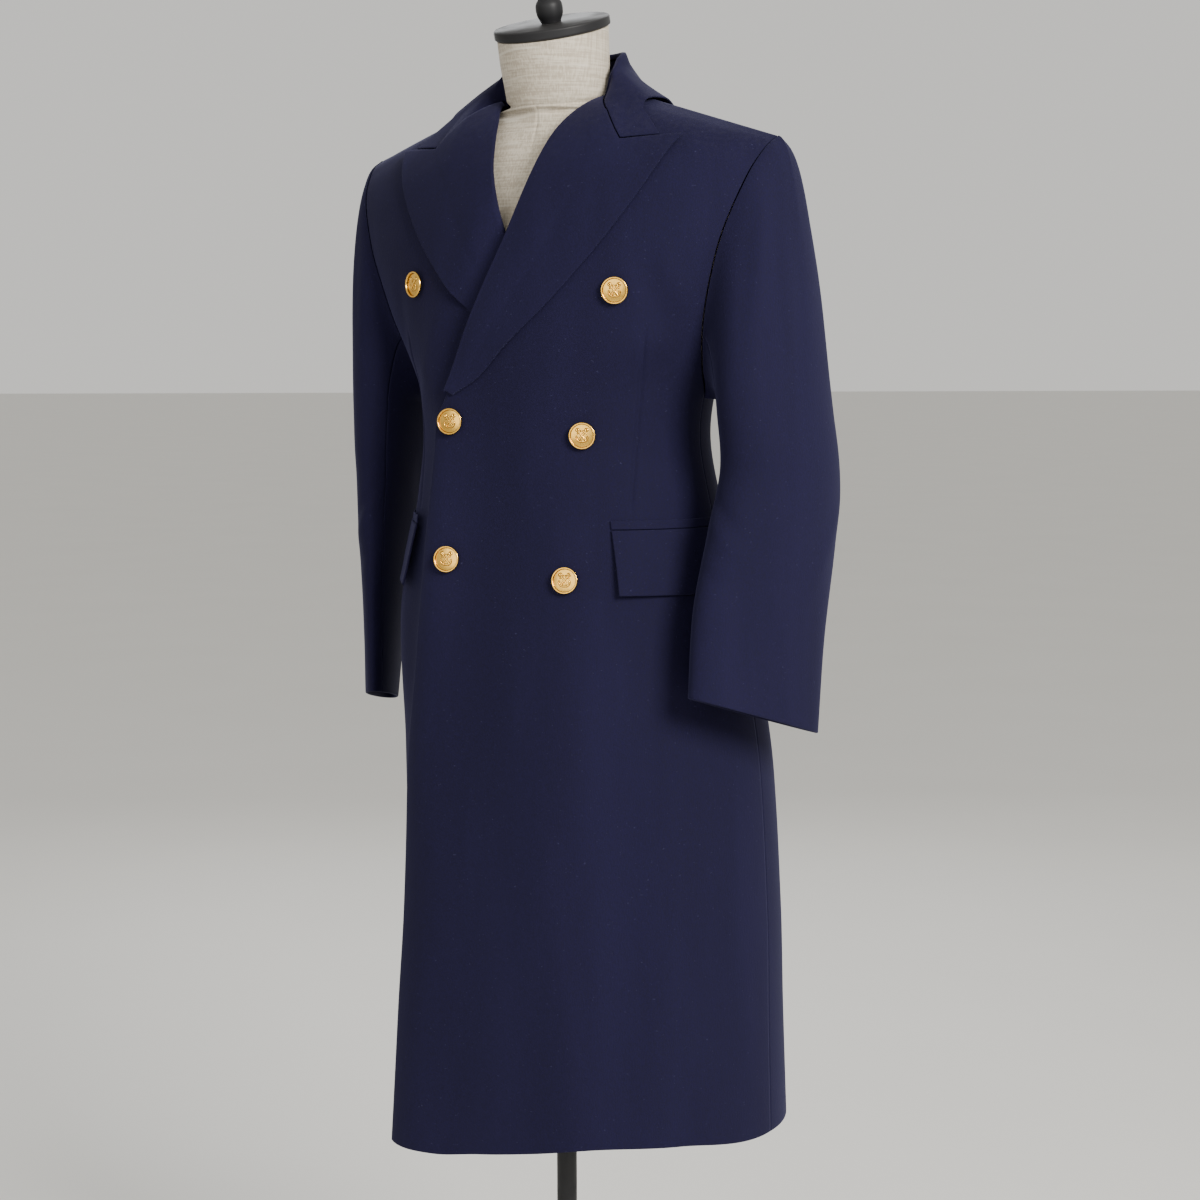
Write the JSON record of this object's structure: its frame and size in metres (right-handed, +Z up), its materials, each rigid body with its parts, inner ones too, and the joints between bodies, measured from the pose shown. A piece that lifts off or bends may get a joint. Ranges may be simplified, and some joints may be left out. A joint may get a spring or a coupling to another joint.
{
  "type": "double-breasted overcoat on a limbless dress form with its stand",
  "caption": "Long double-breasted wool overcoat with peaked lapels, flap pockets and gilt buttons, open at the neck, on a linen dress form with a wooden neck cap and a round-based pole stand",
  "frame": {"origin": "centre of the stand base's underside, on the floor", "axes": "+Z up, the coat's front faces -Y, the wearer's left is +X"},
  "size_m": [0.5161, 0.359, 1.6009],
  "materials": {
    "wool": "milled navy wool, softly matt with a short nap",
    "gilt": "gilt metal, satin field with a bright rim",
    "linen": "natural slubby linen, matt",
    "black_wood": "turned wood, black satin lacquer",
    "black_metal": "black powder coat"
  },
  "bodies": {
    "root": {"front_left": "wool", "front_right": "wool", "back_left": "wool", "back_right": "wool", "lapel_left": "wool", "lapel_right": "wool", "upper_sleeve_left": "wool", "upper_sleeve_right": "wool", "under_sleeve_left": "wool", "under_sleeve_right": "wool", "pocket_flap_left": "wool", "pocket_flap_right": "wool", "pocket_welt_left": "wool", "pocket_welt_right": "wool", "collar": "wool", "collar_stand": "wool", "button_top_left": "gilt", "button_top_right": "gilt", "button_middle_left": "gilt", "button_middle_right": "gilt", "button_low_left": "gilt", "button_low_right": "gilt", "dress_form": "linen", "neck_cap": "black_wood", "finial": "black_wood", "pole": "black_metal", "stand_base": "black_metal"}
  },
  "joints": []
}
